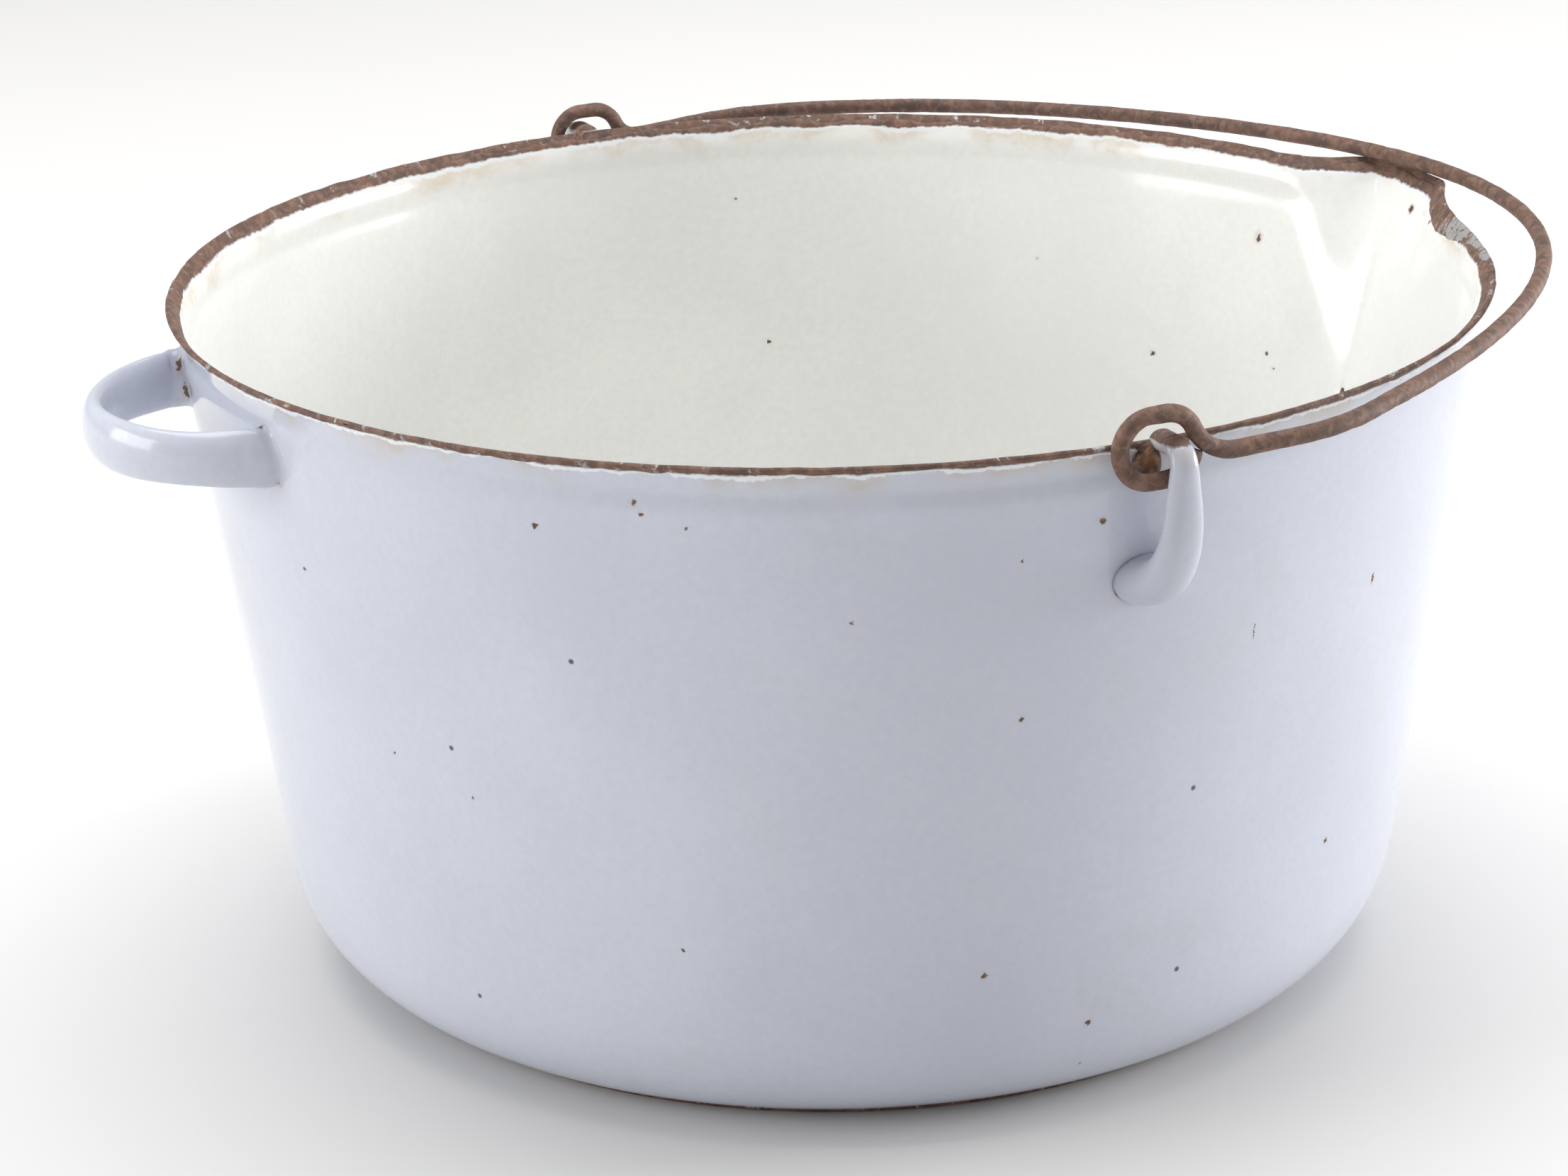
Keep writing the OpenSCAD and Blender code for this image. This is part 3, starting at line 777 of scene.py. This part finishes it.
def build_handle(sizes):
    """Half-round strap on the side away from the spout, with its ends spread on to the wall."""
    sheet = Sheet(sizes)
    count = 44
    middle_z = (GRIP_LOW.z + GRIP_HIGH.z) / 2
    half_high = (GRIP_HIGH.z - GRIP_LOW.z) / 2
    loop_r = sizes.grip_radius / MM + HANDLE_THICK / 2
    turned = HANDLE_TURN
    centre_x = (-GRIP_LOW.x - sizes.grip_radius / MM - HANDLE_THICK) / math.cos(turned)
    a = np.radians(np.linspace(HANDLE_ARC, -HANDLE_ARC, 90))
    bow = 1 + 0.010 * np.cos(3 * a + 2.4)
    x, y = -centre_x - loop_r * bow * np.cos(a), loop_r * bow * np.sin(a)
    route = np.stack([x * math.cos(turned) + y * math.sin(turned),
                      y * math.cos(turned) - x * math.sin(turned), np.full(len(a), middle_z)], 1)
    centre = np.array([-centre_x * math.cos(turned), centre_x * math.sin(turned), middle_z])
    out = unit(route - centre)
    up = np.tile([0, 0, 1.0], (len(a), 1))
    near_foot = ease((np.abs(np.degrees(a)) - HANDLE_WIDEN) / (HANDLE_ARC - HANDLE_WIDEN))
    slim = 0.97 + 0.03 * np.cos(5 * a + 1)
    rings = swept(route, up, out, half_high * slim * (1 + 0.04 * near_foot),
                  HANDLE_THICK / 2 * (0.97 + 0.10 * near_foot), 0.72, count)
    t = np.linspace(0, 2 * math.pi, count, endpoint=False)
    feet = []
    for sign in (1, -1):
        leg = math.pi - turned - sign * math.atan2(loop_r - 0.6, 181)
        feet.append(wall_rings(sheet, sizes.coat / MM, leg, middle_z, -sign * np.sin(t) * 4.6,
                               np.cos(t) * half_high, 1.5, 0.45))
    points, faces = capped(np.concatenate([feet[0][::-1], rings, feet[1]]))
    new_piece("handle_strap", points, faces, "pot", material("strap"),
              ("side_handle", "side_handle_welds"))


EAR_HALF_THICK = 2.7
# radius of an ear's upper bend, and the depth below the bail's axis where its leg turns in
EAR_BEND, EAR_STAND = 4.6, 15.0
# where an ear's foot meets the wall: distance from the pot's axis, and depth below the bail's axis
FOOT_TOP, FOOT_BOTTOM = (183.0, 31.0), (181.4, 45.4)


def build_ear(sizes, side):
    """Bent strap that leaves the rim, turns down clear of the wall and curls back into its foot."""
    count = 40
    low, high = EAR_BOXES[side]
    middle_x = (low.x + high.x) / 2
    stand_y = max(high.y, -low.y) - EAR_HALF_THICK
    pieces = [np.array([[188.4, 0], [190, 0], [192, 0], [194, 0]])]
    arc = np.linspace(math.pi / 2, 0, 10)[:, None]
    bend = EAR_BEND * np.hstack([np.cos(arc), np.sin(arc)])
    pieces.append(np.array([stand_y - EAR_BEND, -EAR_BEND]) + bend)
    drop = np.linspace(-EAR_BEND, -EAR_STAND, 9)[1:-1, None]
    pieces.append(np.hstack([np.full_like(drop, stand_y), drop]))
    plan = np.vstack(pieces)
    along = unit(np.gradient(plan, axis=0))
    out = np.stack([-along[:, 1], along[:, 0]], 1)
    # the leg's outer and inner faces swing in to the wall on two flat ellipses, and part into the foot
    swing = np.linspace(0, math.pi / 2, 26)[:, None]
    ends = []
    for start_y, (foot_y, foot_drop) in ((stand_y + EAR_HALF_THICK, FOOT_BOTTOM),
                                         (stand_y - EAR_HALF_THICK, FOOT_TOP)):
        ends.append(np.hstack([foot_y + (start_y - foot_y) * np.cos(swing),
                               -EAR_STAND + (EAR_STAND - foot_drop) * np.sin(swing)]))
    middle = np.vstack([plan, (ends[0] + ends[1]) / 2])
    half = np.vstack([out * EAR_HALF_THICK, (ends[0] - ends[1]) / 2])
    stations = [0, 3, 12, len(plan), len(middle) - 12, len(middle) - 1]
    share = np.interp(np.arange(len(middle)), stations, [0.47, 0.47, 0.50, 0.70, 0.98, 1.36])
    half_wide = share * sizes.ear_width / MM
    route = np.stack([np.full(len(middle), middle_x - 0.3), side * middle[:, 0],
                      BAIL_AXIS.z + middle[:, 1]], 1)
    lift = np.stack([0 * half[:, 0], side * half[:, 0], half[:, 1]], 1)
    wide = np.tile([1.0, 0, 0], (len(route), 1))
    rings = swept(route, wide, lift, half_wide, np.ones(len(route)), 0.94, count)
    points, faces = capped(rings)
    name = "rear_ear" if side > 0 else "front_ear"
    new_piece(name + "_strap", points, faces, "pot", material("ear"),
              (name, name + "_weld"))


def build_crust(side):
    """Lumps of rust and grime packed between an ear's upper leg and the rim."""
    axis_z = BAIL_AXIS.z
    middle_x = (EAR_BOXES[side][0].x + EAR_BOXES[side][1].x) / 2
    count, rows = 36, 22
    t = np.linspace(0, 2 * math.pi, count, endpoint=False)
    rings, lump = [], []
    for share in np.linspace(-1, 1, rows):
        x = 7.6 * share
        size = math.sqrt(max(1 - share ** 2, 0.02))
        centre = np.array([x + middle_x, side * (189.4 - 0.012 * x * x), axis_z - 1.2])
        ring = centre + np.stack([0 * t, 1.5 * size * np.cos(t), 2.1 * size * np.sin(t)], 1)
        rings.append(ring)
    # and a shorter lump that hangs beside the eye
    for share in np.linspace(-1, 1, rows):
        size = math.sqrt(max(1 - share ** 2, 0.02))
        centre = np.array([middle_x - 4.4 + 4.0 * share, side * 188.4, axis_z - 5.4])
        lump.append(centre + np.stack([0 * t, 2.2 * size * np.cos(t), 4.6 * size * np.sin(t)], 1))
    parts = []
    for each in (np.stack(rings), np.stack(lump)):
        middle = each.mean(1, keepdims=True)
        rough = 1 + 0.35 * grains(each, 3.2, 70 + side)[..., None]
        parts.append(capped(middle + (each - middle) * rough))
    points = np.vstack([part[0] for part in parts])
    faces = parts[0][1] + [[corner + len(parts[0][0]) for corner in each] for each in parts[1][1]]
    name = ("rear" if side > 0 else "front") + "_ear_crust"
    new_piece(name, points, faces, "pot", material("crust"))


# ---- bail ----

BAIL_TILT = math.radians(2.5)
HOOP_DROP = 4.6
# the hoop is pulled slightly square: by how much, and how its sides are turned
HOOP_SQUARE, HOOP_TURN = 4.8, math.radians(15)
# arc over which a straight end of the wire passes into the hoop
HOOP_LEAD = math.radians(16)
EYE_Y = 194.2
TAIL_ANGLE = math.radians(-14)
EYE_STRAIGHT = 2.2
# for each end: the eye's middle from its ear, how far it hangs down, and the radius of its last bend
EYES = {-1: (-4.5, 0.0, 14.0), 1: (2.1, 2.3, 8.0)}


def arc_line(centre, radius, start, stop, step=0.5):
    a = np.linspace(start, stop, max(3, int(abs(stop - start) * radius / step)))
    return np.stack([centre[0] + radius * np.cos(a), centre[1] + radius * np.sin(a)], 1)


def eye_line(side, eye_r):
    """An eye and the bend that leaves it, in its own upright plane, from the cut end on."""
    low, high = EAR_BOXES[side]
    shift, hang, leave_r = EYES[side]
    near = np.array([(low.x + high.x) / 2 + shift + EYE_STRAIGHT, -hang])
    far = near - np.array([2 * EYE_STRAIGHT, 0])
    rise = leave_r / math.cos(BAIL_TILT) - HOOP_DROP + near[0] * math.tan(BAIL_TILT) + hang
    angle = BAIL_TILT + math.asin(rise * math.cos(BAIL_TILT) / (eye_r + leave_r))
    leave = near + (eye_r + leave_r) * np.array([math.cos(angle), math.sin(angle)])
    parts = [arc_line(near, eye_r, TAIL_ANGLE, -math.pi / 2),
             arc_line(far, eye_r, -math.pi / 2, -3 * math.pi / 2),
             arc_line(near, eye_r, math.pi / 2, angle),
             arc_line(leave, leave_r, math.pi + angle, 3 * math.pi / 2 + BAIL_TILT)[1:]]
    return np.vstack(parts)


def bail_route(eye_r, hoop_r):
    """The wire's middle line from one cut end to the other, with the bail at rest."""
    ends = {}
    for side in (-1, 1):
        line = eye_line(side, eye_r)
        ends[side] = np.stack([line[:, 0], np.full(len(line), side * EYE_Y), line[:, 1]], 1)
    stop = {side: math.atan2(EYE_Y, ends[side][-1, 0] / math.cos(BAIL_TILT)) for side in (-1, 1)}
    a = np.linspace(-stop[-1], stop[1], 640)[1:-1]
    lead = EYE_Y / np.maximum(0.5, np.abs(np.sin(a)))
    bent = hoop_r + HOOP_SQUARE * np.cos(4 * (a + HOOP_TURN))
    t = ease((np.where(a < 0, stop[-1], stop[1]) - np.abs(a)) / HOOP_LEAD)
    r = lead * (1 - t) + bent * t
    hoop = np.stack([r * np.cos(a) * math.cos(BAIL_TILT), r * np.sin(a),
                     r * np.cos(a) * math.sin(BAIL_TILT) - HOOP_DROP], 1)
    return np.vstack([ends[-1], hoop, ends[1][::-1]]) + np.array([0, 0, BAIL_AXIS.z])


def build_bail(sizes):
    """One length of rusted wire: cut end, eye, hoop, eye, cut end."""
    radius = sizes.wire / MM / 2
    route = bail_route(sizes.eye_radius / MM, sizes.hoop_radius / MM)
    steps = np.concatenate([[0], np.cumsum(np.linalg.norm(np.diff(route, axis=0), axis=1))])
    even = np.linspace(0, steps[-1], int(steps[-1] / 0.9))
    route = np.stack([np.interp(even, steps, route[:, i]) for i in range(3)], 1)
    side, up = side_vectors(route)
    count = 24
    t = np.linspace(0, 2 * math.pi, count, endpoint=False)
    ring = side[:, None] * np.cos(t)[:, None] + up[:, None] * np.sin(t)[:, None]
    place = route[:, None] + radius * ring
    size = radius - 0.10 + 0.10 * grains(place, 5, 81) * 0.8 - 0.10 * np.maximum(grains(place, 2.4, 85), 0)
    size = np.minimum(size, radius)
    taper = np.minimum(even, even[-1] - even)
    size = size * (0.82 + 0.18 * ease(taper / 1.2))[:, None]
    points, faces = capped(route[:, None] + size[..., None] * ring)
    new_piece("bail_wire", points, faces, "bail", material("wire"), ("bail",))


# ---- stage ----

CAMERA_AT = Vector((-0.4825, -1.0026, 0.5031))
CAMERA_WAY = Vector((0.3963, 0.8532, -0.3391))
CAMERA_ROLL = -0.0256
CAMERA_LENS = 91.58


def build_camera():
    data = bpy.data.cameras.new("camera")
    data.sensor_width = 36
    data.lens = CAMERA_LENS
    data.clip_start = 0.05
    camera = bpy.data.objects.new("camera", data)
    bpy.context.scene.collection.objects.link(camera)
    way = CAMERA_WAY.normalized()
    right = way.cross(Vector((0, 0, 1))).normalized()
    up = right.cross(way)
    tilted = right * math.cos(CAMERA_ROLL) + up * math.sin(CAMERA_ROLL)
    raised = tilted.cross(way)
    turn_to = Matrix((tilted, raised, -way)).transposed()
    camera.matrix_world = Matrix.Translation(CAMERA_AT) @ turn_to.to_4x4()
    bpy.context.scene.camera = camera


def area_light(name, place, target, width, height, power):
    data = bpy.data.lights.new(name, "AREA")
    data.shape = "RECTANGLE"
    data.size, data.size_y = width, height
    data.energy = power
    data.color = (1, 1, 1)
    lamp = bpy.data.objects.new(name, data)
    bpy.context.scene.collection.objects.link(lamp)
    lamp.location = place
    lamp.rotation_euler = (Vector(target) - Vector(place)).to_track_quat("-Z", "Y").to_euler()


def build_stage():
    data = bpy.data.meshes.new("floor")
    size = 14.0
    corners = [(-size, -size, 0), (size, -size, 0), (size, size, 0), (-size, size, 0)]
    data.from_pydata(corners, [], [(0, 1, 2, 3)])
    floor = bpy.data.objects.new("floor", data)
    bpy.context.scene.collection.objects.link(floor)
    paper, n, shader, place = new_material("floor_paper")
    n.feed(n.mix(n.noise(place, 3, 3), rgba((0.765, 0.76, 0.75)), rgba((0.785, 0.78, 0.77))),
           shader.inputs["Base Color"])
    shader.inputs["Roughness"].default_value = 0.9
    data.materials.append(paper)
    world = bpy.data.worlds.new("studio")
    bpy.context.scene.world = world
    world.use_nodes = True
    world.node_tree.nodes["Background"].inputs[0].default_value = (1, 0.995, 0.985, 1)
    world.node_tree.nodes["Background"].inputs[1].default_value = 0.50
    area_light("top_soft", (0.1, 0.35, 2.3), (0, 0, 0.1), 2.4, 2.0, 47)
    area_light("left_soft", (-2.3, 0.65, 0.65), (0, 0, 0.1), 1.6, 1.2, 30)
    area_light("right_soft", (2.27, -0.42, 0.42), (0, 0, 0.1), 1.2, 0.8, 47)
    bpy.context.scene.view_settings.view_transform = "Standard"


# ---- operators, one for each piece or group of like pieces ----

class STOCKPOT_OT_stage(bpy.types.Operator):
    """Add the floor, the soft lights and the camera"""
    bl_idname = "stockpot.stage"
    bl_label = "Stage"

    def execute(self, context):
        build_camera()
        build_stage()
        return {"FINISHED"}


class STOCKPOT_OT_steel(bpy.types.Operator):
    """Add the drawn steel sheet with its bare rim, spout and foot"""
    bl_idname = "stockpot.steel"
    bl_label = "Steel sheet"

    def execute(self, context):
        build_steel(context.scene.pot_sizes)
        return {"FINISHED"}


class STOCKPOT_OT_coats(bpy.types.Operator):
    """Add the blue outer coat and the cream inner coat"""
    bl_idname = "stockpot.coats"
    bl_label = "Enamel coats"

    def execute(self, context):
        build_outer_coat(context.scene.pot_sizes)
        build_inner_coat(context.scene.pot_sizes)
        return {"FINISHED"}


class STOCKPOT_OT_handle(bpy.types.Operator):
    """Add the side handle with its spread feet"""
    bl_idname = "stockpot.handle"
    bl_label = "Side handle"

    def execute(self, context):
        build_handle(context.scene.pot_sizes)
        return {"FINISHED"}


class STOCKPOT_OT_ears(bpy.types.Operator):
    """Add the two ears that hold the bail, and the rust packed behind them"""
    bl_idname = "stockpot.ears"
    bl_label = "Ears"

    def execute(self, context):
        for side in (-1, 1):
            build_ear(context.scene.pot_sizes, side)
            build_crust(side)
        return {"FINISHED"}


class STOCKPOT_OT_bail(bpy.types.Operator):
    """Add the wire bail with its two eyes"""
    bl_idname = "stockpot.bail"
    bl_label = "Bail"

    def execute(self, context):
        build_bail(context.scene.pot_sizes)
        return {"FINISHED"}


OPERATORS = (STOCKPOT_OT_stage, STOCKPOT_OT_steel, STOCKPOT_OT_coats, STOCKPOT_OT_handle,
             STOCKPOT_OT_ears, STOCKPOT_OT_bail)


class STOCKPOT_PT_panel(bpy.types.Panel):
    """Lists the pot's sizes, colours and pieces"""
    bl_idname = "STOCKPOT_PT_panel"
    bl_label = "Stock Pot"
    bl_space_type = "VIEW_3D"
    bl_region_type = "UI"
    bl_category = "Stock Pot"

    def draw(self, context):
        for group in (context.scene.pot_sizes, context.scene.pot_colours):
            box = self.layout.box()
            for name in group.__annotations__:
                box.prop(group, name)
        for operator in OPERATORS:
            self.layout.operator(operator.bl_idname)


CLASSES = (PotSizes, PotColours, *OPERATORS, STOCKPOT_PT_panel)


def register():
    for each in CLASSES:
        bpy.utils.register_class(each)
    bpy.types.Scene.pot_sizes = bpy.props.PointerProperty(type=PotSizes)
    bpy.types.Scene.pot_colours = bpy.props.PointerProperty(type=PotColours)


def unregister():
    del bpy.types.Scene.pot_colours
    del bpy.types.Scene.pot_sizes
    for each in reversed(CLASSES):
        bpy.utils.unregister_class(each)


def main():
    register()
    bpy.ops.stockpot.stage()
    bpy.ops.stockpot.steel()
    bpy.ops.stockpot.coats()
    bpy.ops.stockpot.handle()
    bpy.ops.stockpot.ears()
    bpy.ops.stockpot.bail()


if __name__ == "__main__":
    main()
